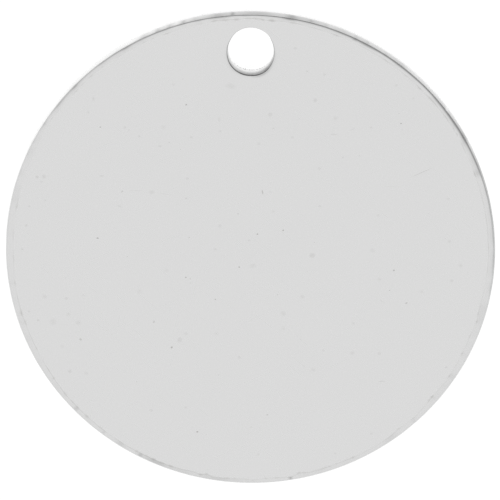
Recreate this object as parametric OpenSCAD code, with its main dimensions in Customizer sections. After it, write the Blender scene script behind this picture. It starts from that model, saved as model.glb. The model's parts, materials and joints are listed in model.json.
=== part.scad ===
// Disc pendant: a round blank punched from silver sheet, with one hanging hole
// close to its rim. It lies on its back face with the hole toward +Y.
// Millimetres. The origin is the centre of the back face, and +Z is up.

/* [Disc] */
// Diameter of the disc
disc_d = 20; // [10:0.5:50]
// Thickness of the sheet that the disc is punched from
disc_t = 1.02; // [0.6:0.01:3]

/* [Rim] */
// Width of the tumbled lip around the front face, out to the rim wall
lip_w = 0.17; // [0.1:0.01:0.4]
// Angle at which the lip falls away from the flat face
lip_slope = 6; // [1:0.5:15]
// Rounding between the lip and the rim wall
rim_r_front = 0.11; // [0.03:0.01:0.3]
// Rounding between the rim wall and the back face, on the punch side
rim_r_back = 0.15; // [0.03:0.01:0.3]

/* [Hanging hole] */
// Diameter of the hole, for a jump ring
hole_d = 1.9; // [1:0.05:4]
// Metal left between the hole and the rim wall
hole_edge = 0.6; // [0.5:0.05:3]
// Rounding of the front mouth, where the hole punch went in
mouth_r_front = 0.06; // [0.02:0.01:0.2]
// Rounding of the back mouth, where the tumbling wore the burr down
mouth_r_back = 0.03; // [0.01:0.01:0.2]

/* [Hidden] */
$fn = 180;

// Largest share of the sheet's thickness that one rounding may take
round_share = 0.4;
// Largest share of the lip's width that its outer rounding may take
lip_share = 0.9;
// How far the pieces of the blank's section run into each other
lap = 0.05;
// How far the hole's cutter stands out of each face
cut_over = 1;

disc_r = disc_d / 2;

// The roundings as built: a thin sheet or a narrow lip limits them
round_max = disc_t * round_share;
edge_front = min(rim_r_front, round_max, lip_w * lip_share);
edge_back = min(rim_r_back, round_max);
mouth_front = min(mouth_r_front, round_max);
mouth_back = min(mouth_r_back, round_max);

// The hole's radius, and its axis out from the disc's axis
hole_r = hole_d / 2;
hole_y = disc_r - hole_edge - hole_r;

// Where the flat face ends and the lip begins, out from the axis
crease_x = disc_r - lip_w;
// Centre of the front rounding, which touches both the lip and the rim wall
front_x = disc_r - edge_front;
front_y = disc_t - edge_front / cos(lip_slope) - (front_x - crease_x) * tan(lip_slope);
// Length of the bar whose top is the lip; it starts inside the flat part
lip_l = (front_x - crease_x) / cos(lip_slope) + 2 * lap;

// The front rounding, with the bar under the lip that leads up to it
module front_corner() {
    circle(r = edge_front);
    rotate(-lip_slope) translate([-lip_l, -edge_front]) square([lip_l, 2 * edge_front]);
}

// Half of the blank's section, from its axis to the rim wall
module blank_section() {
    intersection() {
        square([disc_r, disc_t]);
        union() {
            square([crease_x - lap, disc_t]);
            square([disc_r - edge_back, front_y]);
            translate([0, edge_back]) square([disc_r, front_y - edge_back]);
            translate([disc_r - edge_back, edge_back]) circle(r = edge_back);
            translate([front_x, front_y]) front_corner();
        }
    }
}

// The rounded mouth of a hole: everything up to its rounding, from the face outward
module mouth_section(rounding) {
    difference() {
        translate([0, -rounding]) square([hole_r + rounding, rounding + cut_over]);
        translate([hole_r + rounding, -rounding]) circle(r = rounding);
    }
}

// What the hole takes away: the straight bore and a rounded mouth at each face
module hole_cutter() {
    rotate_extrude() {
        translate([0, -cut_over]) square([hole_r, disc_t + 2 * cut_over]);
        translate([0, disc_t]) mouth_section(mouth_front);
        mirror([0, 1]) mouth_section(mouth_back);
    }
}

// The pendant: one solid blank with its hanging hole
module disc() {
    color("silver") difference() {
        rotate_extrude() blank_section();
        translate([0, hole_y, 0]) hole_cutter();
    }
}

disc();
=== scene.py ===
"""Disc pendant: a tumbled silver blank with one hanging hole, lying on a white table.

A piece is made in millimetres and scaled to metres when it is finished. Its place is the
frame's own: the origin is the centre of the back face, +Z is out of the front face, and the
hole lies toward +Y.
"""

import json
import logging
import math
import random
from dataclasses import dataclass, field
from enum import Enum
from typing import Any, Iterable, Iterator, Mapping, Optional, Sequence, Union

import bmesh
import bpy
from mathutils import Matrix, Vector, noise


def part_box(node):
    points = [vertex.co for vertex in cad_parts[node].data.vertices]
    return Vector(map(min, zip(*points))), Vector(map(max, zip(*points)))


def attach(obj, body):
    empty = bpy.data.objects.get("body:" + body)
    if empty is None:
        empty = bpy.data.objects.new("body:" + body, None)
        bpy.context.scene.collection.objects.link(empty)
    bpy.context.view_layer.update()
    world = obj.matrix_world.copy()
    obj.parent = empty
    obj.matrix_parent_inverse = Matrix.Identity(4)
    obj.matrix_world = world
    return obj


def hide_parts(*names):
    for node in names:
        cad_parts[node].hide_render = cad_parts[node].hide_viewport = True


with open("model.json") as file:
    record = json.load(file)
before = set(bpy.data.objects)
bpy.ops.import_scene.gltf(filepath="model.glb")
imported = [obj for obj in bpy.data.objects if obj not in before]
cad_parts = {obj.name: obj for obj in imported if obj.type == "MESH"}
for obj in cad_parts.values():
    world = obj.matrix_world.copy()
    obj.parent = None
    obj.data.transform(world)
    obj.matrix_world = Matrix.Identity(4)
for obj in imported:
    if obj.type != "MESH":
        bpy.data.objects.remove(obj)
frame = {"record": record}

log = logging.getLogger("disc_pendant")

MM = 0.001

# How far off a point may lie and still count as in a face, or on a seam, in millimetres
FLAT_ERROR = 1e-5
SEAM_ERROR = 1e-4

# A full turn is spun as one part of this many, which is then doubled until it is whole
TURN_PARTS = 8

# How fast a stretch of a ring fades toward its ends
STRETCH_FADE = 2

Vert = bmesh.types.BMVert
Pair = tuple[float, float]
Stops = Sequence[Pair]


class Face(Enum):
    """The two flat faces of the disc, by the direction that each looks in."""

    FRONT = 1
    BACK = -1


class Layer(Enum):
    """The values that each point of the mesh carries for its finish and its painted shade."""

    # Dirt in the marks, and the crease painted darker
    GRIME = "grime"
    LIP = "lip"
    # Painted shade and painted reflection on the rim's lip, corner and wall, which also roughen them
    CUT = "cut"
    # Painted shade and painted reflection in the hole, on its burr and on the face beside it
    BORE = "bore"


class Ring(Enum):
    """The rings of points that are painted darker, given painted shade or worn: the rim's, then the
    hole's.
    """

    PLAIN = 0
    COLLAR = 1
    CREASE = 2
    GROOVE = 3
    LIP = 4
    CORNER = 5
    WALL = 6
    TORN = 7
    ROUGH = 8
    HOLE_FACE = 9
    HOLE_MOUTH = 10
    HOLE_WALL = 11
    HOLE_TORN = 12
    HOLE_ROUGH = 13
    HOLE_FOOT = 14


def make_object(bm: bmesh.types.BMesh, name: str) -> bpy.types.Object:
    """Makes a finished mesh an object of the scene.

    Args:
        bm: The mesh, in metres, which is freed.
        name: The object's name.

    Returns:
        The new object.
    """
    mesh = bpy.data.meshes.new(name)
    bm.to_mesh(mesh)
    bm.free()
    made = bpy.data.objects.new(name, mesh)
    bpy.context.scene.collection.objects.link(made)
    return made


def push(vert: Vert, angle: float, shift: float) -> None:
    """Moves a point level, by a distance in the direction of an angle in radians."""
    vert.co += Vector((math.cos(angle), math.sin(angle), 0)) * shift


class Workpiece:
    """A mesh in the making, in millimetres, with the layers that its finish reads."""

    def __init__(self) -> None:
        """Starts an empty mesh with its layers."""
        self.bm = bmesh.new()
        self.layers = {layer: self.bm.verts.layers.float.new(layer.value) for layer in Layer}
        self.ring = self.bm.verts.layers.int.new("ring")

    def paint(self, vert: Vert, layer: Layer, value: float) -> None:
        """Writes a point's value on a layer, held between 0 and 1."""
        vert[self.layers[layer]] = min(1.0, max(0.0, value))

    def ring_points(self, *rings: Ring) -> list[Vert]:
        """Finds the points of some rings."""
        numbers = {ring.value for ring in rings}
        return [vert for vert in self.bm.verts if vert[self.ring] in numbers]

    def close_face(self, height: float) -> None:
        """Fills the flat face at one height, round every open loop that lies in it.

        Args:
            height: The height of the face.
        """
        rim = [
            edge
            for edge in self.bm.edges
            if edge.is_boundary and all(abs(v.co.z - height) < FLAT_ERROR for v in edge.verts)
        ]
        made = bmesh.ops.triangle_fill(self.bm, use_beauty=True, use_dissolve=False, edges=rim)
        log.info("face at %.2f mm: %d edges, %d triangles", height, len(rim), len(made["geom"]))
        for edge in rim:
            edge.smooth = False

    def finish(self, name: str) -> bpy.types.Object:
        """Makes the mesh an object in metres, with its faces outwards.

        Args:
            name: The object's name.

        Returns:
            The new object.
        """
        bmesh.ops.recalc_face_normals(self.bm, faces=self.bm.faces)
        for face in self.bm.faces:
            face.smooth = True
        self.bm.verts.layers.int.remove(self.ring)
        bmesh.ops.scale(self.bm, vec=(MM, MM, MM), verts=self.bm.verts)
        return make_object(self.bm, name)


@dataclass
class Section:
    """Half of a turned section: a chain of points that is drawn, then spun about its axis."""

    work: Workpiece
    axis: Vector
    points: list[Vert] = field(default_factory=list)

    def point(self, out: float, up: float, ring: Ring = Ring.PLAIN) -> None:
        """Adds the chain's next point.

        Args:
            out: Its distance from the axis.
            up: Its height.
            ring: The ring that it sweeps.
        """
        vert = self.work.bm.verts.new(self.axis + Vector((out, 0, up)))
        vert[self.work.ring] = ring.value
        if self.points:
            self.work.bm.edges.new((self.points[-1], vert))
        self.points.append(vert)

    def arc(self, centre: Pair, radii: Pair, angles: Pair, steps: int, ring: Ring = Ring.PLAIN) -> None:
        """Adds an arc.

        Args:
            centre: The arc's centre, as out and up.
            radii: Its radius outward and upward.
            angles: Those of its first and last point, in degrees from outward toward up.
            steps: How many stretches it has.
            ring: The ring that its points sweep.
        """
        start, end = angles
        for step in range(steps + 1):
            angle = math.radians(start + (end - start) * step / steps)
            out = centre[0] + radii[0] * math.cos(angle)
            self.point(out, centre[1] + radii[1] * math.sin(angle), ring)

    def spin(self, steps: int) -> None:
        """Spins the chain a part of a turn, and turns copies of that to make it whole.

        Args:
            steps: How many stretches the full turn has.
        """
        bm = self.work.bm
        others = set(bm.verts) - set(self.points)
        turn = 2 * math.pi / TURN_PARTS
        bmesh.ops.spin(
            bm,
            geom=[*self.points, *(edge for edge in bm.edges if edge.verts[0] not in others)],
            cent=self.axis,
            axis=(0, 0, 1),
            dvec=(0, 0, 0),
            angle=turn,
            steps=steps // TURN_PARTS,
            use_merge=False,
            use_normal_flip=False,
            use_duplicate=False,
        )
        for _ in range(TURN_PARTS.bit_length() - 1):
            verts = [vert for vert in bm.verts if vert not in others]
            edges = [edge for edge in bm.edges if edge.verts[0] not in others]
            faces = [face for face in bm.faces if face.verts[0] not in others]
            made = bmesh.ops.duplicate(bm, geom=[*verts, *edges, *faces])["geom"]
            copied = [item for item in made if isinstance(item, Vert)]
            bmesh.ops.rotate(bm, cent=self.axis, matrix=Matrix.Rotation(turn, 3, "Z"), verts=copied)
            turn *= 2
        verts = [vert for vert in bm.verts if vert not in others]
        bmesh.ops.remove_doubles(bm, verts=verts, dist=SEAM_ERROR)


@dataclass(frozen=True)
class Ripple:
    """A wobble that runs round a ring and meets itself, with a seed that makes it its own."""

    waves: float
    amount: float
    seed: float

    def at(self, angle: float, climb: float = 0.0) -> float:
        """Gives the wobble at one place.

        Args:
            angle: The place on the ring, in radians.
            climb: How far the pattern is climbed there, in its own lengths.

        Returns:
            The wobble, from -amount to amount.
        """
        reach = self.waves / (2 * math.pi)
        place = Vector((reach * math.cos(angle), reach * math.sin(angle), self.seed + climb))
        return self.amount * noise.noise(place)


@dataclass(frozen=True)
class Stretch:
    """A stretch of a ring where a value rises or falls.

    Its middle is counted from +X toward +Y and its spread is half its length, both in degrees.
    """

    middle: float
    spread: float
    amount: float = 1.0

    def at(self, angle: float) -> float:
        """Gives what it adds at an angle in radians, which eases off from its middle."""
        off = (math.degrees(angle) - self.middle + 180) % 360 - 180
        return self.amount * math.exp(-STRETCH_FADE * (off / self.spread) ** 2)


def stretches(*items: tuple[float, float, float]) -> tuple[Stretch, ...]:
    """Makes a chart of stretches from their middles, spreads and amounts."""
    return tuple(Stretch(*item) for item in items)


def along(angle: float, chart: Iterable[Stretch]) -> float:
    """Adds up what a chart of stretches gives at an angle in radians."""
    return sum(item.at(angle) for item in chart)


def grade(place: float, stops: Stops) -> float:
    """Reads a value off a line of stops.

    Args:
        place: Where it is read.
        stops: The line.

    Returns:
        The value there, which past an end is that end's.
    """
    value = stops[0][1]
    for (low, first), (high, second) in zip(stops, stops[1:]):
        value += (second - first) * min(1.0, max(0.0, (place - low) / (high - low)))
    return value


def around(angle: float, stops: Stops) -> float:
    """Reads a value at an angle in radians off stops that run from 0 to 360 degrees."""
    return grade(math.degrees(angle) % 360, stops)


@dataclass(frozen=True)
class Shade:
    """A painted shade that runs round a band: the depths where it shows, and how strong it is."""

    depths: Stops
    shares: Stops = ((0, 0.0), (360, 0.0))
    stains: Sequence[Stretch] = ()
    mottle: Ripple = Ripple(0, 0, 0)

    def at(self, angle: float, depth: float) -> float:
        """Gives the darkening at an angle in radians and a depth in millimetres."""
        share = around(angle, self.shares) + along(angle, self.stains) + self.mottle.at(angle)
        return max(0.0, share) * grade(depth, self.depths)


# How far in from the rim wall the middle of the crease's groove lies, round the disc
CREASE_INSETS = (
    (0, 0.278), (10, 0.278), (20, 0.28), (28, 0.262), (33, 0.213), (42, 0.218), (46, 0.23), (50, 0.22),
    (60, 0.208), (70, 0.215), (75, 0.213), (80, 0.191), (82.5, 0.19), (85, 0.217), (87, 0.215),
    (89, 0.166), (91.8, 0.168), (93, 0.204), (96, 0.19), (98, 0.175), (103, 0.204), (110, 0.217),
    (115, 0.2), (123, 0.225), (127.5, 0.187), (131, 0.207), (137, 0.243), (145, 0.21), (152, 0.28),
    (168, 0.306), (182, 0.327), (188, 0.286), (196, 0.262), (199, 0.295), (205, 0.284), (212, 0.273),
    (214, 0.253), (219, 0.225), (226, 0.226), (231, 0.213), (240, 0.202), (246, 0.203), (250, 0.19),
    (253.5, 0.2), (256.2, 0.242), (258, 0.17), (259.5, 0.255), (261, 0.165), (265, 0.204), (269, 0.213),
    (271, 0.166), (274, 0.23), (278, 0.204), (280, 0.16), (282.3, 0.293), (284.5, 0.204), (290, 0.225),
    (296, 0.216), (300, 0.203), (307, 0.222), (309.3, 0.28), (314, 0.226), (320.8, 0.31), (324, 0.288),
    (327.7, 0.276), (334, 0.307), (339, 0.332), (343, 0.274), (345, 0.331), (348, 0.33), (355, 0.286),
    (360, 0.278),
)

# Where that groove is painted darker
CREASE_DARKENING = stretches(
    (3, 8, 0.2), (15, 4, 0.2), (20.7, 0.8, 0.5), (28, 1.5, 0.5), (31.5, 0.5, 0.5), (33, 0.5, 0.5),
    (36, 2.5, 0.55), (41.5, 2.5, 0.75), (46, 1.2, 0.85), (50, 2, 0.55), (56.5, 2.5, 0.45),
    (62, 2.5, 0.15), (69.5, 2, 0.45), (73.8, 1.8, 0.5), (79.8, 1.8, 0.95), (82.6, 0.8, 0.3),
    (85, 1.1, 1.2), (87.2, 0.7, 0.95), (89.5, 2.4, 0.8), (93.3, 0.8, 0.95), (95.5, 2.4, 0.8),
    (98.3, 1.2, 0.85), (102, 1, 0.35), (110.3, 1, 0.55), (113.6, 0.5, 0.4), (116, 0.6, 0.3),
    (119, 0.5, 0.3), (123, 0.8, 0.35), (127.5, 0.5, 0.6), (131, 0.7, 0.6), (133.7, 0.8, 0.45),
    (136, 0.5, 0.4), (145, 0.5, 0.3), (168.5, 1.2, 0.5), (176, 2, 0.2), (182, 2.5, 0.3),
    (187.8, 0.7, 0.6), (191.5, 1.5, 0.2), (195.8, 1.3, 0.8), (198.3, 1, 0.4), (203.5, 1.8, 0.25),
    (205.3, 0.5, 0.45), (211.8, 1.3, 0.5), (214, 0.5, 0.7), (215.5, 0.5, 0.5), (219, 1, 0.65),
    (221.5, 1, 0.35), (223.3, 0.6, 0.6), (226.5, 0.7, 0.6), (229, 0.6, 0.5), (231, 1, 0.4),
    (236.5, 1, 0.25), (240, 1.2, 0.35), (241.4, 0.5, 0.8), (244, 0.8, 0.5), (246, 0.7, 1.2),
    (248.3, 1.2, 0.8), (250.6, 0.9, 1.2), (256.6, 0.6, 0.4), (258, 0.7, 0.9), (259.5, 0.6, 0.6),
    (261, 0.8, 0.5), (264.5, 1, 0.5), (266.5, 0.5, 0.4), (269, 1, 0.3), (271, 1, 0.4), (274, 0.7, 0.6),
    (276.8, 1.3, 0.45), (280, 0.5, 0.8), (282.3, 0.7, 0.9), (283.5, 0.7, 0.8), (286, 1, 0.4),
    (288.5, 1.2, 0.5), (290, 0.5, 0.7), (291.8, 0.5, 0.7), (294.5, 1, 0.5), (296, 0.5, 0.7),
    (299, 1.5, 0.2), (307, 1.5, 0.25), (309.3, 0.5, 0.6), (314, 0.8, 0.2), (319.9, 0.5, 0.6),
    (320.9, 0.6, 1.2), (324.5, 1, 0.2), (327.8, 0.6, 0.6), (330.7, 0.5, 0.25), (332, 0.5, 0.3),
    (334.2, 0.6, 0.8), (339, 0.7, 0.45), (343.1, 0.5, 0.65), (345, 0.8, 0.5), (347, 0.6, 0.4),
    (357, 3, 0.2), (10, 12, 0.12), (196, 7, 0.25), (224, 22, 0.22), (252, 16, 0.18), (286, 18, 0.22),
    (315, 15, 0.1), (345, 14, 0.06),
)

# How far in the front corner is worn, round the disc
CORNER_INSETS = (
    (0, 0.012), (20, 0.015), (30, 0.018), (45, 0.031), (60, 0.034), (75, 0.01), (90, 0.0), (103, 0.0),
    (112, 0.008), (119, 0.014), (125, -0.008), (129, 0.0), (134, 0.014), (160, 0.018), (185, 0.0),
    (200, -0.004), (330, -0.004), (345, 0.0), (360, 0.012),
)

# Darker places on the lip, between that groove and the front rounding, most of them on the lower half
LIP_SHADE = Shade(
    depths=((0.008, 1.0), (0.03, 0.0)),
    stains=stretches(
        (20.6, 1.4, 0.2), (28.5, 1.6, 0.08), (188, 0.8, 0.08), (223.3, 0.7, 0.25), (232.2, 0.5, 0.2),
        (237.3, 1.5, 0.2), (242.7, 0.8, 0.35), (246.8, 4.5, 0.3), (253.5, 2.5, 0.15), (262, 7, 0.16),
        (280, 0.5, 0.5), (290, 9, 0.02), (307, 2, 0.12), (313.5, 0.7, 0.12), (328, 0.8, 0.06),
        (345, 4, 0.1),
    ),
    mottle=Ripple(170, 0.07, 9.4),
)

# Darker and lighter places along the front corner: painted shade and a painted dark reflection line,
# mostly on the upper half
CORNER_SHADE = Shade(
    depths=((0.006, 0.0), (0.01, 1.0), (0.027, 1.0), (0.052, 0.0)),
    shares=(
        (0, 0.3), (8, 0.15), (18, 0.13), (27, 0.38), (33, 0.38), (43, 0.02), (57, 0.04), (62, 0.18),
        (70, 0.15), (78, 0.12), (90, -0.1), (108, -0.04), (120, 0.18), (135, 0.27), (150, 0.1),
        (165, -0.05), (200, -0.2), (330, -0.15), (345, 0.0), (360, 0.3),
    ),
    stains=stretches(
        (30, 2.2, 0.45), (36, 4, 0.2), (40, 2, 0.1), (53, 5, 0.1), (62, 3, 0.28), (65.2, 1, 0.4),
        (81, 2, 0.45), (91, 2, 0.2), (96.5, 3.5, 0.35), (102, 2, 0.25), (106, 2, 0.1), (111, 2, 0.15),
        (120.5, 1.5, 0.3), (126, 2.5, 0.2), (135.5, 1.2, 0.3), (141, 2, 0.15), (147, 0.6, 0.15),
        (152, 1, 0.1),
    ),
    mottle=Ripple(130, 0.22, 12.3),
)

# Darker and lighter places along the sheared wall, below the front corner: painted shade, lightest on the
# upper left where the light falls
WALL_SHADE = Shade(
    depths=(
        (0.03, 0.0), (0.06, 0.85), (0.14, 1.0), (0.3, 0.95), (0.43, 0.8), (0.62, 0.5), (0.85, 0.1),
    ),
    shares=(
        (0, 0.7), (15, 0.85), (30, 0.72), (45, 0.53), (60, 0.52), (75, 0.7), (90, 0.8), (105, 0.5),
        (120, 0.2), (130, 0.06), (150, 0.05), (180, 0.2), (195, 0.5), (210, 0.85), (345, 0.85),
        (360, 0.7),
    ),
    stains=stretches(
        (30, 2, 0.25), (37.5, 0.6, -0.4), (52, 1, 0.1), (57, 0.6, 0.15), (62, 0.5, 0.15),
        (65, 0.8, 0.15), (72.5, 1, 0.15), (76, 0.6, 0.15), (80.5, 1.8, 0.35), (94.2, 0.6, 0.4),
        (98, 2, 0.2), (103, 1, 0.1), (105.7, 0.8, 0.3), (107.3, 0.5, -0.2), (109, 0.8, 0.25),
        (112, 1, 0.3), (115.5, 1.5, 0.25),
    ),
    mottle=Ripple(90, 0.15, 15.9),
)

# A painted shadow line where the corner rounds into the wall, on the upper left
UNDER_SHADE = Shade(
    depths=((0.03, 0.0), (0.05, 1.0), (0.09, 1.0), (0.14, 0.0)),
    shares=((90, 0.0), (104, 0.13), (120, 0.22), (135, 0.16), (147, 0.0)),
)

# How far out the hole's front mouth and the foot of its wall are worn, round the hole
MOUTH_SHIFTS = (
    (0, -0.03), (15, -0.03), (30, -0.016), (45, 0.02), (60, 0.028), (105, 0.028), (120, 0.018),
    (135, -0.004), (150, -0.03), (180, -0.033), (195, -0.026), (210, -0.012), (240, -0.006),
    (270, -0.006), (285, 0.012), (300, 0.018), (315, 0.011), (330, -0.01), (345, -0.02), (360, -0.03),
)
FOOT_SHIFTS = (
    (0, -0.03), (30, -0.01), (60, 0.02), (120, 0.02), (150, -0.03), (180, -0.036), (200, -0.03),
    (225, -0.02), (300, -0.016), (330, -0.02), (360, -0.03),
)

# The darker face beside the hole's mouth, by its distance from the mouth: painted shade, strongest below
# and right of the hole
HALO_SHADE = Shade(
    depths=((0.0, 1.3), (0.02, 1.0), (0.06, 0.3), (0.105, 0.1), (0.16, 0.0)),
    shares=(
        (0, 0.02), (30, 0.0), (150, 0.0), (180, 0.03), (210, 0.08), (225, 0.16), (240, 0.08),
        (270, 0.02), (288, 0.32), (300, 0.4), (312, 0.3), (330, 0.1), (345, 0.08), (360, 0.02),
    ),
)

# The rolled mouth, the wall that the punch burnished, and the foot of the wall: painted shade and painted
# reflection, darkest on the hole's lower side, with a painted shadow at the foot
MOUTH_SHADE = Shade(
    depths=(
        (0.0, 0.15), (0.003, 0.5), (0.012, 1.0), (0.07, 1.0), (0.12, 0.78), (0.21, 0.0),
    ),
    shares=(
        (0, 0.48), (15, 0.44), (30, 0.2), (42, 0.0), (130, 0.0), (150, 0.36), (165, 0.53), (180, 0.59),
        (195, 0.73), (210, 0.85), (225, 0.85), (240, 0.9), (255, 0.98), (270, 0.91), (285, 0.95),
        (300, 0.9), (315, 0.94), (330, 0.75), (345, 0.53), (360, 0.48),
    ),
)
BORE_SHADE = Shade(
    depths=(
        (0.03, 0.0), (0.06, 1.0), (0.16, 0.9), (0.3, 0.8), (0.43, 0.42), (0.58, 0.18), (0.72, 0.03),
        (0.95, 0.03),
    ),
    shares=(
        (0, 0.38), (15, 0.15), (30, 0.0), (150, 0.05), (165, 0.2), (180, 0.47), (195, 0.6), (225, 0.52),
        (240, 0.62), (255, 0.72), (285, 0.76), (300, 0.84), (315, 0.97), (330, 0.9), (345, 0.7),
        (360, 0.38),
    ),
)
FOOT_SHADE = Shade(
    depths=((0.8, 0.0), (0.84, 0.1), (0.9, 0.9), (0.99, 1.0)),
    stains=stretches((268, 68, 0.52), (254, 7, 0.38), (240, 6, 0.15)),
)


@dataclass
class TurnedBand:
    """A band of the blank that is turned about an upright axis, then given painted shade and worn."""

    work: Workpiece
    axis: Vector
    radius: float
    thickness: float

    def each(self, *rings: Ring) -> Iterator[tuple[Vert, float]]:
        """Goes through the points of some rings, each with its angle on the axis in radians."""
        for vert in self.work.ring_points(*rings):
            yield vert, math.atan2(vert.co.y - self.axis.y, vert.co.x - self.axis.x)


@dataclass
class RimBand(TurnedBand):
    """The disc's edge: crease, lip, front rounding, cut wall and back rounding."""

    segments: int = 1080
    lip_width: float = 0.172
    lip_slope: float = 6.0
    front_round: float = 0.11
    front_steps: int = 12
    back_round: float = 0.15
    back_steps: int = 10
    collar: float = 0.05
    # The groove's middle is a share of its width; its floor and its edge are shares of its depth
    groove_width: float = 0.056
    groove_middle: float = 0.4
    groove_depth: float = 0.006
    groove_floor: float = 0.8
    groove_edge: float = 0.7
    sheared_share: float = 0.45
    sheared_steps: int = 5
    torn_depth: float = 0.010
    torn_steps: int = 6
    torn_ease: int = 3
    crease_wave: Ripple = Ripple(110, 0.01, 4.2)
    crease_chatter: Ripple = Ripple(290, 0.012, 6.6)
    torn_wave: Ripple = Ripple(60, 0.06, 3.1)
    torn_chatter: Ripple = Ripple(220, 0.03, 5.7)
    rough_chatter: Ripple = Ripple(340, 0.012, 7.3)
    rough_climb: float = 9.0
    dirt_share: float = 0.9
    dirt_power: float = 0.7
    dirt_breaks: Ripple = Ripple(260, 0.6, 2.9)
    dirt_dust: Ripple = Ripple(150, 0.2, 8.8)
    # The rings that are painted darker: each one's share, and how dark the groove is before they darken
    dirt_rings: Sequence[tuple[Ring, float, float]] = (
        (Ring.CREASE, 0.6, 0.4),
        (Ring.GROOVE, 1.0, 0.0),
        (Ring.LIP, 0.5, 0.5),
    )
    shine_depths: Stops = ((0.01, 1.0), (0.1, 0.0))
    shades: Sequence[Shade] = (LIP_SHADE, CORNER_SHADE, WALL_SHADE, UNDER_SHADE)

    @property
    def crest(self) -> Pair:
        """Finds where the lip meets the front rounding.

        Returns:
            The place, as out and up.
        """
        slope = math.radians(self.lip_slope)
        out = self.radius - self.front_round * (1 - math.sin(slope))
        return out, self.thickness - (out - self.radius + self.lip_width) * math.tan(slope)

    @property
    def round_centre(self) -> Pair:
        """The centre of the front rounding, as out and up."""
        fall = self.front_round * math.cos(math.radians(self.lip_slope))
        return self.radius - self.front_round, self.crest[1] - fall

    def build(self) -> None:
        """Turns the edge, paints its shade and its darker crease, and wears it."""
        section = Section(self.work, self.axis)
        self.draw_lip(section)
        self.draw_wall(section)
        section.spin(self.segments)
        self.stain()
        self.wear()

    def draw_lip(self, section: Section) -> None:
        """Draws the crease, the groove beside it, the lip and the front rounding.

        Args:
            section: The chain that they are added to.
        """
        crease, top = self.radius - self.lip_width, self.thickness
        deep, wide = self.groove_depth, self.groove_width
        section.point(crease - self.collar, top, Ring.COLLAR)
        section.point(crease, top, Ring.CREASE)
        section.point(crease + self.groove_middle * wide, top - self.groove_floor * deep, Ring.GROOVE)
        section.point(crease + wide, top - self.groove_edge * deep, Ring.LIP)
        angles = (90 - self.lip_slope, 0)
        section.arc(self.round_centre, (self.front_round,) * 2, angles, self.front_steps, Ring.CORNER)

    def draw_wall(self, section: Section) -> None:
        """Draws the sheared band, the torn band below it and the back rounding.

        Args:
            section: The chain that they are added to.
        """
        high, low = self.round_centre[1], self.back_round
        torn = self.thickness * self.sheared_share
        for step in range(1, self.sheared_steps + 1):
            ring = Ring.WALL if step < self.sheared_steps else Ring.TORN
            section.point(self.radius, high + (torn - high) * step / self.sheared_steps, ring)
        for step in range(1, self.torn_steps):
            up = torn + (low - torn) * step / self.torn_steps
            inset = self.torn_depth * min(1, step / self.torn_ease)
            section.point(self.radius - inset, up, Ring.ROUGH)
        radii = (low - self.torn_depth, low)
        section.arc((self.radius - low, low), radii, (0, -90), self.back_steps)
        section.point(self.radius - low - self.collar, 0)

    def stain(self) -> None:
        """Paints the groove and the metal beside it darker, and paints shade on the lip, the corner and
        the wall.
        """
        # The groove and the rings beside it are painted darker along the crease
        for ring, share, least in self.dirt_rings:
            for vert, angle in self.each(ring):
                self.work.paint(vert, Layer.GRIME, share * (self.crease_held(angle) - least))
        # Painted shade and painted reflection on the lip, the corner and the wall, and where the lip and
        # corner are smoother
        for vert, angle in self.each(Ring.GROOVE, Ring.LIP, Ring.CORNER, Ring.WALL, Ring.TORN):
            depth = self.thickness - vert.co.z
            self.work.paint(vert, Layer.CUT, sum(shade.at(angle, depth) for shade in self.shades))
            self.work.paint(vert, Layer.LIP, grade(depth, self.shine_depths))

    def wear(self) -> None:
        """Lets the crease, the corner and the torn band wander, as hand-tumbled metal does."""
        for vert, angle in self.each(Ring.COLLAR, Ring.CREASE, Ring.GROOVE, Ring.LIP):
            push(vert, angle, self.crease_shift(angle))
        low, high = self.round_centre[1], self.crest[1]
        for vert, angle in self.each(Ring.CORNER):
            share = (vert.co.z - low) / (high - low)
            push(vert, angle, -share * around(angle, CORNER_INSETS))
        for vert, angle in self.each(Ring.TORN):
            vert.co.z += self.torn_wave.at(angle) + self.torn_chatter.at(angle)
        for vert, angle in self.each(Ring.ROUGH):
            push(vert, angle, -abs(self.rough_chatter.at(angle, self.rough_climb * vert.co.z)))

    def crease_shift(self, angle: float) -> float:
        """Says how far outward the crease is moved from where it was drawn, in millimetres."""
        inset = around(angle, CREASE_INSETS) + self.groove_middle * self.groove_width
        return self.lip_width - inset + self.crease_wave.at(angle) + self.crease_chatter.at(angle)

    def crease_held(self, angle: float) -> float:
        """Says how dark the crease is painted: over 1 where the darkening spreads beside the groove."""
        held = self.dirt_share * max(0.0, along(angle, CREASE_DARKENING)) ** self.dirt_power
        return max(0.0, held * (1 + self.dirt_breaks.at(angle)) + self.dirt_dust.at(angle))


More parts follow.
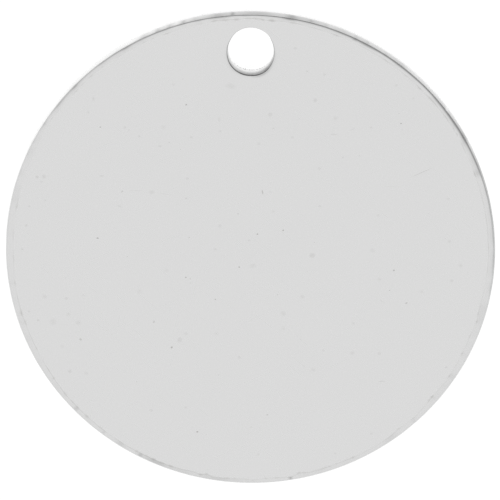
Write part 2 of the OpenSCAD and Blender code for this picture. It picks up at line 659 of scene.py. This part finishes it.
@dataclass
class HangingHole(TurnedBand):
    """The punched hole: a rolled front mouth, a sheared band, a torn band and a worn back mouth."""

    segments: int = 240
    roll: float = 0.04
    roll_steps: int = 8
    flare: float = 0.02
    flare_reach: float = 0.40
    flare_steps: int = 8
    torn_share: float = 0.42
    torn_width: float = 0.034
    torn_steps: int = 5
    back_roll: float = 0.03
    back_steps: int = 6
    collars: tuple[float, ...] = (0.16, 0.105, 0.06, 0.02)
    torn_wave: Ripple = Ripple(18, 0.07, 2.2)
    rough_chatter: Ripple = Ripple(60, 0.004, 6.4)
    rough_climb: float = 5.0
    mottle: Ripple = Ripple(40, 0.08, 3.3)
    burr: Stretch = Stretch(254.5, 3)
    burr_size: float = 0.05

    @property
    def mouth_edge(self) -> float:
        """How far the mouth's rounding reaches from the hole's axis."""
        return self.radius + self.flare + self.roll

    @property
    def reach(self) -> float:
        """How far the hole's own metal reaches from its axis."""
        return self.mouth_edge + max(self.collars)

    def build(self) -> None:
        """Turns the hole's wall, paints its shade and wears it."""
        section = Section(self.work, self.axis)
        self.draw_sheared(section)
        self.draw_torn(section)
        section.spin(self.segments)
        self.stain()
        self.wear()

    def draw_sheared(self, section: Section) -> None:
        """Draws the rolled front mouth and the sheared band, which flares toward it.

        Args:
            section: The chain that they are added to.
        """
        low = self.thickness - self.roll
        for collar in self.collars:
            section.point(self.mouth_edge + collar, self.thickness, Ring.HOLE_FACE)
        section.arc((self.mouth_edge, low), (self.roll,) * 2, (90, 180), self.roll_steps, Ring.HOLE_MOUTH)
        for step in range(1, self.flare_steps + 1):
            share = step / self.flare_steps
            out = self.radius + self.flare * (1 - share) ** 2
            section.point(out, low - self.flare_reach * share, Ring.HOLE_WALL)

    def draw_torn(self, section: Section) -> None:
        """Draws the torn band and the worn back mouth.

        Args:
            section: The chain that they are added to.
        """
        torn, foot = self.thickness * self.torn_share, self.back_roll
        wide = self.radius + self.torn_width
        section.point(self.radius, torn, Ring.HOLE_TORN)
        for step in range(1, self.torn_steps + 1):
            share = step / self.torn_steps
            out = self.radius + self.torn_width * math.sin(0.5 * math.pi * share)
            ring = Ring.HOLE_ROUGH if step < self.torn_steps else Ring.HOLE_FOOT
            section.point(out, torn + (foot - torn) * share, ring)
        section.arc((wide + foot, foot), (foot,) * 2, (180, 270), self.back_steps)
        section.point(wide + foot + max(self.collars), 0)

    def beside(self, vert: Vert) -> float:
        """Says how far outside the mouth's rounding a point of the face lies."""
        return (vert.co.xy - self.axis.xy).length - self.mouth_edge

    def each_inside(self) -> Iterator[tuple[Vert, float]]:
        """Goes through the points of the mouth and the wall, each with its angle in radians."""
        inside = (Ring.HOLE_MOUTH, Ring.HOLE_WALL, Ring.HOLE_TORN, Ring.HOLE_ROUGH, Ring.HOLE_FOOT)
        return self.each(*inside)

    def stain(self) -> None:
        """Paints shade on the mouth and the wall that the punch burnished, on the burr, and on the face
        beside the mouth.
        """
        for vert, angle in self.each(Ring.HOLE_FACE):
            self.work.paint(vert, Layer.BORE, HALO_SHADE.at(angle, self.beside(vert)))
        for vert, angle in self.each_inside():
            depth = self.thickness - vert.co.z
            dark = max(MOUTH_SHADE.at(angle, depth), BORE_SHADE.at(angle, depth))
            dark += self.mottle.at(angle) * dark
            self.work.paint(vert, Layer.BORE, dark + FOOT_SHADE.at(angle, depth))
        # Painted shade on the burr at the foot of the wall
        for vert, angle in self.each(Ring.HOLE_FOOT):
            dark = vert[self.work.layers[Layer.BORE]]
            self.work.paint(vert, Layer.BORE, max(self.burr.at(angle), dark))

    def wear(self) -> None:
        """Wears the mouth, lets the torn band wander, roughens it and leaves a burr at the back."""
        for vert, angle in self.each(Ring.HOLE_FACE):
            share = 1 - self.beside(vert) / max(self.collars)
            push(vert, angle, share * around(angle, MOUTH_SHIFTS))
        for vert, angle in self.each_inside():
            share = vert.co.z / self.thickness
            shift = share * around(angle, MOUTH_SHIFTS) + (1 - share) * around(angle, FOOT_SHIFTS)
            push(vert, angle, shift)
        for vert, angle in self.each(Ring.HOLE_TORN):
            vert.co.z += self.torn_wave.at(angle)
        for vert, angle in self.each(Ring.HOLE_ROUGH):
            push(vert, angle, abs(self.rough_chatter.at(angle, self.rough_climb * vert.co.z)))
        for vert, angle in self.each(Ring.HOLE_FOOT):
            push(vert, angle, -self.burr_size * self.burr.at(angle))


@dataclass(frozen=True)
class Cut:
    """How a kind of mark is cut: its depth by its width, its sides, and how dirty its slope is."""

    depth: float
    sides: int
    slope_dirt: float


class MarkKind(Enum):
    """What left a mark on a face."""

    PIT = Cut(0.16, 12, 1.0)
    SCRATCH = Cut(0.12, 24, 1.0)
    SMUDGE = Cut(0.0, 24, 0.5)


# The rings inside a mark's outline: what each keeps of the one before, and its share of the depth
SLOPE_RING = (0.68, 0.35)
FLOOR_RING = (0.42, 0.65)

# How uneven a mark's outline is, and how far apart the marks lie in the noise that makes it so
OUTLINE_WOBBLE = 0.25
OUTLINE_SPREAD = 7
OUTLINE_SEED = 0.5


@dataclass(frozen=True)
class Mark:
    """One pit, scratch or smudge on a face, in the millimetres of the disc's own frame.

    Its grime is how dirty it is, from 0 to 1. It is turned by degrees, and bent sideways.
    """

    kind: MarkKind
    x: float
    y: float
    length: float
    width: float
    grime: float = 1.0
    turn: float = 0.0
    bend: float = 0.0

    def cut(self, work: Workpiece, height: float, face: Face) -> None:
        """Sinks the mark into a face that hasn't been filled yet.

        Args:
            work: The mesh that the mark goes into.
            height: The height of the face.
            face: Which way the face looks.
        """
        bm, style = work.bm, self.kind.value
        size = Matrix.Diagonal((self.length / 2, self.width / 2, 1, 1))
        circle = {"cap_ends": True, "cap_tris": False, "segments": style.sides, "radius": 1}
        made = bmesh.ops.create_circle(bm, matrix=size, **circle)["verts"]
        cap = made[0].link_faces[0]
        if cap.normal.z * face.value < 0:
            cap.normal_flip()
        for (keep, fall), dirt in ((SLOPE_RING, style.slope_dirt), (FLOOR_RING, 1.0)):
            deep = self.width * style.depth * fall
            bmesh.ops.inset_individual(bm, faces=[cap], thickness=0, depth=-deep)
            bmesh.ops.scale(bm, vec=(keep, keep, 1), verts=cap.verts)
            for vert in cap.verts:
                work.paint(vert, Layer.GRIME, dirt * self.grime)
            made.extend(cap.verts)
        for vert in made:
            far, across = vert.co.x / (self.length / 2), vert.co.y / self.width
            spot = (self.x * OUTLINE_SPREAD + far, self.y * OUTLINE_SPREAD + across, OUTLINE_SEED)
            wave = noise.noise(Vector(spot))
            vert.co.y = vert.co.y * (1 + OUTLINE_WOBBLE * wave) + self.bend * (1 - far * far)
        turned = Matrix.Rotation(math.radians(self.turn), 4, "Z")
        place = Matrix.Translation((self.x, self.y, height)) @ turned
        bmesh.ops.transform(bm, matrix=place, verts=made)


def chart(kind: MarkKind, *rows: tuple[float, ...]) -> tuple[Mark, ...]:
    """Makes marks of one kind, each from its x, y, length, width, grime, turn and bend."""
    return tuple(Mark(kind, *row) for row in rows)


# The marks that the front shows, with the hole at the top
PITS = chart(
    MarkKind.PIT,
    (-2.59, 6.25, 0.09, 0.07, 1.0, 20), (-6.07, 5.28, 0.08, 0.06, 1.0, 20), (-6.22, 0.6, 0.1, 0.08),
    (-3.21, -4.06, 0.11, 0.09, 1.0, 60), (-6.96, -3.75, 0.13, 0.09, 0.6, 150),
    (-2.16, -7.73, 0.1, 0.08, 1.0, 10), (-0.49, 1.68, 0.07, 0.06, 0.6), (0.3, 0.83, 0.08, 0.07),
    (1.35, 1.0, 0.08, 0.07, 1.0, 45), (-0.44, -0.58, 0.08, 0.07, 1.0, 120), (-2.62, -1.04, 0.08, 0.06),
    (6.08, 5.54, 0.09, 0.06), (5.88, -0.66, 0.09, 0.07), (6.41, -2.06, 0.11, 0.09, 0.55, 30),
    (-3.94, -2.96, 0.12, 0.09, 0.5, 70), (0.74, -6.95, 0.09, 0.08, 0.4),
    (-5.2, 2.59, 0.13, 0.06, 0.6, 50), (-1.42, -1.97, 0.06, 0.05), (5.72, -1.52, 0.07, 0.06, 0.4),
)
SCRATCHES = chart(
    MarkKind.SCRATCH,
    (0.5, 2.61, 0.22, 0.06, 0.8, 100), (5.45, -1.95, 0.35, 0.03, 0.25, 150, 0.06),
    (5.45, -5.45, 0.35, 0.035, 0.4),
)
SMUDGES = chart(
    MarkKind.SMUDGE,
    (5.75, 2.88, 1.0, 0.045, 0.16, 4, 0.02), (-4.65, 2.62, 0.8, 0.06, 0.16, 0, 0.01),
    (-3.47, 2.5, 0.66, 0.06, 0.16, -8), (-4.0, 2.57, 0.3, 0.22, 0.22),
    (2.54, -0.05, 0.31, 0.27, 0.38, 15), (6.95, 3.49, 1.15, 0.065, 0.34, 25),
    (-8.38, 3.2, 0.2, 0.2, 0.35), (-8.66, 3.17, 0.17, 0.15, 0.42), (-8.48, 2.97, 0.14, 0.12, 0.24),
    (0.8, 5.87, 0.24, 0.22, 0.3), (-2.88, -3.73, 0.29, 0.24, 0.3, 50), (-2.62, -3.46, 0.2, 0.17, 0.2),
    (2.61, 6.47, 0.21, 0.2, 0.32), (3.38, 5.06, 0.34, 0.09, 0.3), (4.12, 5.27, 0.28, 0.07, 0.2, 25),
    (4.42, 4.17, 0.16, 0.07, 0.16), (3.43, 5.73, 0.23, 0.21, 0.22), (4.22, -4.23, 0.24, 0.21, 0.24),
    (4.88, 5.36, 0.14, 0.13, 0.28), (-8.42, -1.91, 0.26, 0.23, 0.22), (-7.53, -1.99, 0.2, 0.18, 0.22),
    (1.37, -2.55, 0.28, 0.26, 0.23), (1.38, -3.2, 0.24, 0.21, 0.16, 90), (2.28, 7.67, 0.14, 0.12, 0.26),
    (2.97, 7.55, 0.16, 0.13, 0.27), (1.79, 8.62, 0.18, 0.15, 0.24), (2.15, -1.83, 0.23, 0.2, 0.22),
    (-3.65, 4.51, 0.24, 0.1, 0.28, -5), (-3.28, 4.67, 0.12, 0.11, 0.25),
    (-6.34, 6.46, 0.26, 0.12, 0.24, 95), (-5.08, 5.28, 0.16, 0.15, 0.26),
    (-6.03, 3.24, 0.26, 0.09, 0.3), (-5.31, 1.96, 0.32, 0.09, 0.28, -20),
    (5.29, -1.05, 0.21, 0.18, 0.23), (8.6, -0.43, 0.23, 0.21, 0.22), (8.25, -1.09, 0.2, 0.18, 0.28),
    (8.12, 0.59, 0.18, 0.16, 0.27), (-0.8, 7.03, 0.52, 0.3, 0.2, 170), (-7.05, -3.03, 0.26, 0.24, 0.22),
    (-7.45, -2.67, 0.2, 0.2, 0.22), (-8.08, -3.0, 0.35, 0.32, 0.19), (-8.69, -2.94, 0.16, 0.14, 0.28),
    (-1.23, 1.17, 0.19, 0.18, 0.23), (-2.6, 2.32, 0.13, 0.12, 0.28), (-2.55, 3.16, 0.18, 0.16, 0.25),
    (-2.39, 4.89, 0.16, 0.15, 0.25), (2.83, 2.03, 0.18, 0.15, 0.21), (2.8, 3.63, 0.18, 0.17, 0.24),
    (0.94, 1.8, 0.17, 0.16, 0.17), (-1.22, 5.15, 0.14, 0.12, 0.25), (-1.26, 5.65, 0.26, 0.15, 0.2, 95),
    (0.93, 5.29, 0.14, 0.12, 0.25), (0.34, 4.64, 0.2, 0.17, 0.2), (0.69, 2.52, 0.1, 0.08, 0.16),
    (2.62, -4.98, 0.24, 0.21, 0.19), (0.12, -0.52, 0.36, 0.25, 0.2, 20),
    (-0.03, 0.56, 0.17, 0.15, 0.19), (5.21, 1.67, 0.16, 0.15, 0.21), (5.0, 0.18, 0.3, 0.25, 0.18, 160),
    (-6.83, -1.85, 0.16, 0.14, 0.19), (-7.42, -5.14, 0.22, 0.19, 0.27), (-6.74, -5.22, 0.22, 0.2, 0.17),
    (-7.72, -4.06, 0.22, 0.2, 0.13), (5.33, -4.24, 0.18, 0.17, 0.28), (-0.43, -4.47, 0.18, 0.17, 0.26),
    (-4.06, -6.81, 0.18, 0.16, 0.27), (8.09, -4.82, 0.15, 0.13, 0.3), (-9.3, 0.1, 0.15, 0.13, 0.27),
    (-9.13, 1.12, 0.17, 0.15, 0.28), (-9.06, -2.56, 0.15, 0.13, 0.26), (3.56, -8.62, 0.15, 0.13, 0.22),
    (-1.42, 0.17, 0.17, 0.15, 0.24), (-8.99, 1.93, 0.15, 0.13, 0.22), (-4.49, 4.91, 0.16, 0.14, 0.22),
    (5.05, -7.73, 0.16, 0.14, 0.23), (5.87, 7.12, 0.16, 0.14, 0.24), (1.7, 4.92, 0.16, 0.14, 0.21),
    (4.25, -2.95, 0.17, 0.15, 0.22), (7.03, -1.57, 0.17, 0.15, 0.21), (-6.55, 5.9, 0.15, 0.13, 0.2),
    (3.03, -4.13, 0.16, 0.14, 0.2), (8.04, 2.4, 0.17, 0.15, 0.22), (-3.11, 7.09, 0.18, 0.16, 0.19),
    (0.08, -7.51, 0.15, 0.13, 0.19), (0.37, -8.7, 0.17, 0.15, 0.19), (6.56, 6.59, 0.15, 0.13, 0.19),
    (-2.64, -6.67, 0.18, 0.16, 0.2), (-8.34, 2.19, 0.15, 0.13, 0.18), (-3.52, 5.3, 0.26, 0.24, 0.14),
    (-4.53, -1.66, 0.26, 0.24, 0.13), (-3.42, -0.75, 0.26, 0.24, 0.13),
    (-1.37, -3.44, 0.25, 0.23, 0.12),
)


@dataclass
class FaceWear:
    """The marks on one face: those that were charted, and a scatter of finer pits."""

    face: Face
    height: float
    reach: float
    hole: Vector
    hole_reach: float
    charted: Sequence[Mark]
    scattered: int
    seed: int
    # How many throws each pit may take, the least gap between marks, and what the dice choose from
    tries: int = 20
    gap: float = 0.05
    lean: Pair = (0.3, 0.45)
    widths: Pair = (0.025, 0.055)
    slimness: Pair = (1, 1.5)
    turns: Pair = (0, 180)
    grimes: Pair = (0.15, 0.5)

    def build(self, work: Workpiece) -> None:
        """Sinks every mark into the face.

        Args:
            work: The mesh that the marks go into.
        """
        marks = list(self.charted)
        dice = random.Random(self.seed)
        for _ in range(self.scattered * self.tries):
            if len(marks) >= len(self.charted) + self.scattered:
                break
            fresh = self.throw(dice)
            if self.clear(fresh, marks):
                marks.append(fresh)
        for mark in marks:
            mark.cut(work, self.height, self.face)
        log.info("%s face: %d marks", self.face.name.lower(), len(marks))

    def throw(self, dice: random.Random) -> Mark:
        """Makes one fine pit at a random place, more often toward the hole and the right.

        Args:
            dice: The source of random numbers.

        Returns:
            The pit, which may lie outside the face or on another mark.
        """
        x, y = (dice.triangular(-self.reach, self.reach, self.reach * lean) for lean in self.lean)
        width = dice.uniform(*self.widths)
        length = width * dice.uniform(*self.slimness)
        turn = dice.uniform(*self.turns)
        return Mark(MarkKind.PIT, x, y, length, width, dice.uniform(*self.grimes), turn)

    def clear(self, mark: Mark, others: Iterable[Mark]) -> bool:
        """Says whether a mark lies on the face and clear of the others.

        Args:
            mark: The mark in question.
            others: The marks that are already placed.

        Returns:
            True if nothing is in its way.
        """
        place = Vector((mark.x, mark.y))
        if place.length > self.reach - mark.length:
            return False
        if (place - self.hole.xy).length < self.hole_reach + mark.length:
            return False
        return all(
            (place - Vector((other.x, other.y))).length > (mark.length + other.length) / 2 + self.gap
            for other in others
        )


class Signal:
    """An output of a shader node that takes part in Python arithmetic on numbers."""

    def __init__(self, sheet: "NodeSheet", socket: Optional[bpy.types.NodeSocket]) -> None:
        """Wraps an output socket of a sheet."""
        self.sheet = sheet
        self.socket = socket

    def math(self, operation: str, *values: "Number") -> "Signal":
        """Adds a Math node with its inputs in order, and gives its result."""
        return self.sheet.add("ShaderNodeMath", {"operation": operation}, dict(enumerate(values)))

    def __add__(self, other: "Number") -> "Signal":
        """Adds."""
        return self.math("ADD", self, other)

    def __radd__(self, other: "Number") -> "Signal":
        """Adds, with the number first."""
        return self.math("ADD", other, self)

    def __sub__(self, other: "Number") -> "Signal":
        """Subtracts."""
        return self.math("SUBTRACT", self, other)

    def __rsub__(self, other: "Number") -> "Signal":
        """Subtracts from a number."""
        return self.math("SUBTRACT", other, self)

    def __mul__(self, other: "Number") -> "Signal":
        """Multiplies."""
        return self.math("MULTIPLY", self, other)

    def __rmul__(self, other: "Number") -> "Signal":
        """Multiplies, with the number first."""
        return self.math("MULTIPLY", other, self)

    def between(self, low: float, high: float, soft: bool = True) -> "Signal":
        """Maps a stretch of values to 0 to 1, and holds the ends.

        Args:
            low: The value that becomes 0.
            high: The value that becomes 1.
            soft: Whether the ends are eased.

        Returns:
            The mapped value.
        """
        kind = "SMOOTHSTEP" if soft else "LINEAR"
        inputs = {"Value": self, "From Min": low, "From Max": high}
        return self.sheet.add("ShaderNodeMapRange", {"interpolation_type": kind, "clamp": True}, inputs)

    def mix(self, low: "Input", high: "Input") -> "Signal":
        """Mixes two colours by this value, from the first at 0 to the second at 1."""
        inputs = {"Factor": self, "A": low, "B": high}
        return self.sheet.add("ShaderNodeMix", {"data_type": "RGBA"}, inputs, "Result")


Number = Union[Signal, float, int]
Input = Union[Signal, float, int, Sequence[float]]
Colour = tuple[float, float, float]


@dataclass(frozen=True)
class Grain:
    """A noise pattern: its grain along X, Y and Z in millimetres, its finer layers and its turn."""

    size: tuple[float, float, float]
    detail: float
    roughness: float
    turn: float = 0.0


class NodeSheet:
    """A material's or world's node tree, emptied and ready to be drawn on."""

    def __init__(self, owner: Union[bpy.types.Material, bpy.types.World]) -> None:
        """Empties the owner's tree.

        Args:
            owner: The material or world.
        """
        owner.use_nodes = True
        self.tree = owner.node_tree
        self.tree.nodes.clear()

    def add(
        self,
        kind: str,
        settings: Optional[Mapping[str, Any]] = None,
        inputs: Optional[Mapping[Union[str, int], Input]] = None,
        output: Union[str, int] = 0,
    ) -> Signal:
        """Adds a node, its settings before its inputs.

        Args:
            kind: The node's type.
            settings: Its properties. The stops of a ramp are pairs of place and colour.
            inputs: Values or links for its sockets, by name or number.
            output: The output that is given back, by name or number.

        Returns:
            The chosen output, which is empty for a node that has none.
        """
        node = self.tree.nodes.new(kind)
        for name, value in (settings or {}).items():
            if name == "stops":
                self.set_stops(node, value)
            else:
                setattr(node, name, value)
        for name, value in (inputs or {}).items():
            socket = self.pick(node.inputs, name)
            if isinstance(value, Signal):
                self.tree.links.new(value.socket, socket)
            else:
                socket.default_value = value
        return Signal(self, self.pick(node.outputs, output) if node.outputs else None)

    @staticmethod
    def pick(sockets: Any, name: Union[str, int]) -> bpy.types.NodeSocket:
        """Finds a socket among those in use.

        Args:
            sockets: A node's inputs or outputs.
            name: The socket's name or number.

        Returns:
            The socket.
        """
        if isinstance(name, int):
            return sockets[name]
        return next(socket for socket in sockets if socket.name == name and socket.enabled)

    @staticmethod
    def set_stops(node: bpy.types.Node, stops: Sequence[tuple[float, Colour]]) -> None:
        """Sets a colour ramp's stops.

        Args:
            node: The ramp.
            stops: Pairs of place and colour, in order.
        """
        elements = node.color_ramp.elements
        while len(elements) < len(stops):
            elements.new(1.0)
        for element, (place, colour) in zip(elements, stops):
            element.position = place
            element.color = (*colour, 1)

    def layer(self, layer: Layer) -> Signal:
        """Reads one of the mesh's layers."""
        return self.add("ShaderNodeAttribute", {"attribute_name": layer.value}, None, "Fac")

    def noise(self, grain: Grain) -> Signal:
        """Lays a noise pattern over the object's own coordinates.

        Args:
            grain: The pattern.

        Returns:
            A value around 0.5.
        """
        own = self.add("ShaderNodeTexCoord", None, None, "Object")
        turn = (0, 0, math.radians(grain.turn))
        inputs = {"Vector": own, "Rotation": turn, "Scale": [size * MM for size in grain.size]}
        place = self.add("ShaderNodeMapping", {"vector_type": "TEXTURE"}, inputs)
        inputs = {"Vector": place, "Scale": 1.0, "Detail": grain.detail, "Roughness": grain.roughness}
        return self.add("ShaderNodeTexNoise", {"noise_dimensions": "3D"}, inputs)


@dataclass(frozen=True)
class TumbledSilver:
    """Rolled silver sheet, punched and tumbled: satin, faintly clouded, pitted and scratched."""

    colour: Colour = (0.935, 0.935, 0.934)
    grime_colour: Colour = (0.52, 0.51, 0.49)
    clouds: Grain = Grain((2.8, 2.8, 2.8), 3, 0.55)
    specks: Grain = Grain((0.08, 0.08, 0.08), 2, 0.6)
    peel: Grain = Grain((0.3, 0.3, 0.3), 2, 0.5)
    hairs: tuple[Grain, ...] = (
        Grain((2.2, 0.03, 2.0), 1, 0.4, 24),
        Grain((1.4, 0.03, 2.0), 1, 0.4, 78),
        Grain((1.8, 0.03, 2.0), 1, 0.4, 141),
    )
    hair_limits: Pair = (0.66, 0.78)
    cloud_shade: float = 0.020
    speck_shade: float = 0.008
    hair_shade: float = 0.003
    # How much the lip, the rim's painted shade and the hole's painted shade darken the silver
    lip_shade: float = 0.016
    cut_shade: float = 0.6
    bore_shade: float = 0.93
    grime_shade: float = 0.6
    roughness: float = 0.26
    cloud_rough: float = 0.08
    hair_rough: float = 0.04
    lip_smooth: float = 0.12
    cut_rough: float = 0.12
    grime_rough: float = 0.15
    relief: float = 0.002
    hair_relief: float = 0.15

    def material(self) -> bpy.types.Material:
        """Makes the finish.

        Returns:
            The material.
        """
        made = bpy.data.materials.new("tumbled_silver")
        sheet = NodeSheet(made)
        grime, lip = sheet.layer(Layer.GRIME), sheet.layer(Layer.LIP)
        # The rim's and the hole's painted shade and painted reflection
        cut, bore = sheet.layer(Layer.CUT), sheet.layer(Layer.BORE)
        clouds, specks = sheet.noise(self.clouds) - 0.5, sheet.noise(self.specks) - 0.5
        first, second, third = (sheet.noise(grain).between(*self.hair_limits) for grain in self.hairs)
        hairs = first + second + third
        # Darkening: slight on the smooth lip, then the painted shade of the rim and of the hole
        worn = lip * self.lip_shade + cut * self.cut_shade + bore * self.bore_shade
        shade = 1 + clouds * self.cloud_shade + specks * self.speck_shade
        shade = shade - hairs * self.hair_shade - worn
        inputs = {"Vector": self.colour, "Scale": shade}
        clean = sheet.add("ShaderNodeVectorMath", {"operation": "SCALE"}, inputs)
        base = (grime * self.grime_shade).mix(clean, (*self.grime_colour, 1))
        rough = self.roughness + clouds * self.cloud_rough + hairs * self.hair_rough
        rough = rough - lip * self.lip_smooth + cut * self.cut_rough + grime * self.grime_rough
        height = sheet.noise(self.peel) - hairs * self.hair_relief
        inputs = {"Strength": 1.0, "Distance": self.relief * MM, "Height": height}
        relief = sheet.add("ShaderNodeBump", None, inputs)
        smooth = rough.between(0, 1, False)
        inputs = {"Base Color": base, "Metallic": 1.0, "Roughness": smooth, "Normal": relief}
        silver = sheet.add("ShaderNodeBsdfPrincipled", None, inputs)
        sheet.add("ShaderNodeOutputMaterial", None, {"Surface": silver})
        return made


@dataclass(frozen=True)
class TableFinish:
    """The white table: a plain pale surface, lit a little from below."""

    colour: Colour = (0.25, 0.25, 0.25)
    glow: float = 0.9

    def material(self) -> bpy.types.Material:
        """Makes the finish.

        Returns:
            The material.
        """
        made = bpy.data.materials.new("white_table")
        sheet = NodeSheet(made)
        inputs = {
            "Base Color": (*self.colour, 1),
            "Roughness": 1.0,
            "Specular IOR Level": 0.0,
            "Emission Color": (1, 1, 1, 1),
            "Emission Strength": self.glow,
        }
        white = sheet.add("ShaderNodeBsdfPrincipled", None, inputs)
        sheet.add("ShaderNodeOutputMaterial", None, {"Surface": white})
        return made


@dataclass
class DiscPendant:
    """The pendant: one blank with its rim, its hole and the wear on its two faces."""

    work: Workpiece
    rim: RimBand
    hole: HangingHole
    rim_margin: float = 0.45
    hole_margin: float = 0.05
    finish: TumbledSilver = TumbledSilver()
    piece: Optional[bpy.types.Object] = None

    @classmethod
    def from_frame(cls, node: str) -> "DiscPendant":
        """Takes the disc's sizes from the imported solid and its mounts.

        Args:
            node: The solid's name.

        Returns:
            The pendant, not yet built.
        """
        work = Workpiece()
        low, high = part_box(node)
        radius, thickness = (high.x - low.x) / 2 / MM, (high.z - low.z) / MM
        mounts = {mount["name"]: mount for mount in frame["record"]["mounts"]}
        bore = mounts["hanging_hole"]
        x, y, _ = bore["pos_m"]
        hole = HangingHole(work, Vector((x / MM, y / MM, 0)), bore["dims"]["r_mm"], thickness)
        return cls(work, RimBand(work, Vector((0, 0, 0)), radius, thickness), hole)

    def build(self) -> bpy.types.Object:
        """Builds the pendant as one closed mesh.

        Returns:
            The piece.
        """
        work, top = self.work, self.rim.thickness
        limits = (self.rim.radius - self.rim_margin, self.hole.axis, self.hole.reach + self.hole_margin)
        charted = PITS + SCRATCHES + SMUDGES
        FaceWear(Face.FRONT, top, *limits, charted=charted, scattered=30, seed=11).build(work)
        FaceWear(Face.BACK, 0, *limits, charted=(), scattered=40, seed=24).build(work)
        self.rim.build()
        self.hole.build()
        work.close_face(top)
        work.close_face(0)
        self.piece = work.finish("disc_blank")
        return self.piece

    def dress(self) -> None:
        """Gives the piece its finish and says which solid it stands for."""
        self.piece.data.materials.append(self.finish.material())
        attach(self.piece, "root")
        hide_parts("disc")


@dataclass
class Studio:
    """The white table, which lies just under the disc."""

    table_size: float = 12.0
    table_gap: float = 0.002
    finish: TableFinish = TableFinish()

    def build(self) -> bpy.types.Object:
        """Lays the table under the disc.

        Returns:
            The table.
        """
        bm = bmesh.new()
        bmesh.ops.create_grid(bm, x_segments=1, y_segments=1, size=self.table_size)
        bmesh.ops.translate(bm, vec=(0, 0, -self.table_gap * MM), verts=bm.verts)
        table = make_object(bm, "table")
        return table

    def dress(self, table: bpy.types.Object) -> None:
        """Gives the table its finish."""
        table.data.materials.append(self.finish.material())


@dataclass(frozen=True)
class LightTent:
    """A soft white tent, even overhead, that opens to a dim room low down on one side."""

    heights: tuple[float, ...] = (0.0, 0.12, 0.4, 0.66, 0.86, 0.95)
    closed: tuple[float, ...] = (0.62, 0.66, 0.71, 0.737, 0.757, 0.757)
    opened: tuple[float, ...] = (0.38, 0.33, 0.29, 0.41, 0.65, 0.757)
    open_way: float = 66.0
    open_from: float = -0.2
    open_to: float = 0.75
    seen: float = 1.05

    def light(self, scene: bpy.types.Scene) -> None:
        """Lights a scene with the tent.

        Args:
            scene: The scene.
        """
        world = bpy.data.worlds.new("light_tent")
        scene.world = world
        sheet = NodeSheet(world)
        way = sheet.add("ShaderNodeTexCoord", None, None, "Generated")
        x, y, rise = (sheet.add("ShaderNodeSeparateXYZ", None, {"Vector": way}, axis) for axis in "XYZ")
        turn = math.radians(self.open_way)
        lean = x * math.cos(turn) + y * math.sin(turn)
        closed = self.wall(sheet, rise, self.closed)
        opened = self.wall(sheet, rise, self.opened)
        glow = lean.between(self.open_from, self.open_to).mix(closed, opened)
        tent = sheet.add("ShaderNodeBackground", None, {"Color": glow, "Strength": 1.0})
        wall = sheet.add("ShaderNodeBackground", None, {"Color": (1, 1, 1, 1), "Strength": self.seen})
        camera = sheet.add("ShaderNodeLightPath", None, None, "Is Camera Ray")
        both = sheet.add("ShaderNodeMixShader", None, {0: camera, 1: tent, 2: wall})
        sheet.add("ShaderNodeOutputWorld", None, {"Surface": both})

    def wall(self, sheet: NodeSheet, rise: Signal, levels: Sequence[float]) -> Signal:
        """Grades one side of the tent by the sine of the elevation, with a level for each height."""
        stops = [(height, (level,) * 3) for height, level in zip(self.heights, levels)]
        return sheet.add("ShaderNodeValToRGB", {"stops": stops}, {"Fac": rise}, "Color")


@dataclass(frozen=True)
class PhotoCamera:
    """A camera at the photograph's angle, well back, a little to the hole's side of the disc."""

    tilt: float = 16.69
    swing: float = 1.1
    roll: float = 0.18
    distance: float = 150.0
    focal_px: float = 3675.0
    frame_px: float = 500.0
    centre_px: Pair = (250.0, 253.6)
    sensor: float = 36.0
    nearest: float = 0.01
    farthest: float = 40.0

    def place(self, scene: bpy.types.Scene, target: Vector) -> bpy.types.Object:
        """Makes the camera.

        Args:
            scene: The scene that it films.
            target: The centre of the front face, in metres.

        Returns:
            The camera.
        """
        data = bpy.data.cameras.new("photo_camera")
        data.sensor_fit = "HORIZONTAL"
        data.sensor_width = self.sensor
        data.lens = self.sensor * self.focal_px / self.frame_px
        data.clip_start = self.nearest
        data.clip_end = self.farthest
        camera = bpy.data.objects.new("photo_camera", data)
        scene.collection.objects.link(camera)
        tilt, swing = math.radians(self.tilt), math.radians(self.swing)
        back = Vector((math.sin(swing) * math.cos(tilt), math.sin(tilt), math.cos(swing) * math.cos(tilt)))
        right = Vector((0, 1, 0)).cross(back).normalized()
        turn = Matrix((right, back.cross(right), back)).transposed()
        turn = turn @ Matrix.Rotation(math.radians(self.roll), 3, "Z")
        half = self.frame_px / 2
        aside, below = ((place - half) / self.focal_px for place in self.centre_px)
        off = turn @ Vector((-aside, below, 1)) * (self.distance * MM)
        camera.matrix_world = Matrix.Translation(target + off) @ turn.to_4x4()
        scene.camera = camera
        return camera


def main() -> None:
    """Builds the pendant, the table, the light and the camera, and reports them."""
    logging.basicConfig(level=logging.INFO, format="%(name)s: %(message)s")
    scene = bpy.context.scene
    scene.view_settings.view_transform = "Standard"
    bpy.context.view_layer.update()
    pendant = DiscPendant.from_frame("disc")
    piece = pendant.build()
    pendant.dress()
    log.info("%s: %d faces", piece.name, len(piece.data.polygons))
    studio = Studio()
    studio.dress(studio.build())
    LightTent().light(scene)
    PhotoCamera().place(scene, Vector((0, 0, pendant.rim.thickness * MM)))


if __name__ == "__main__":
    main()
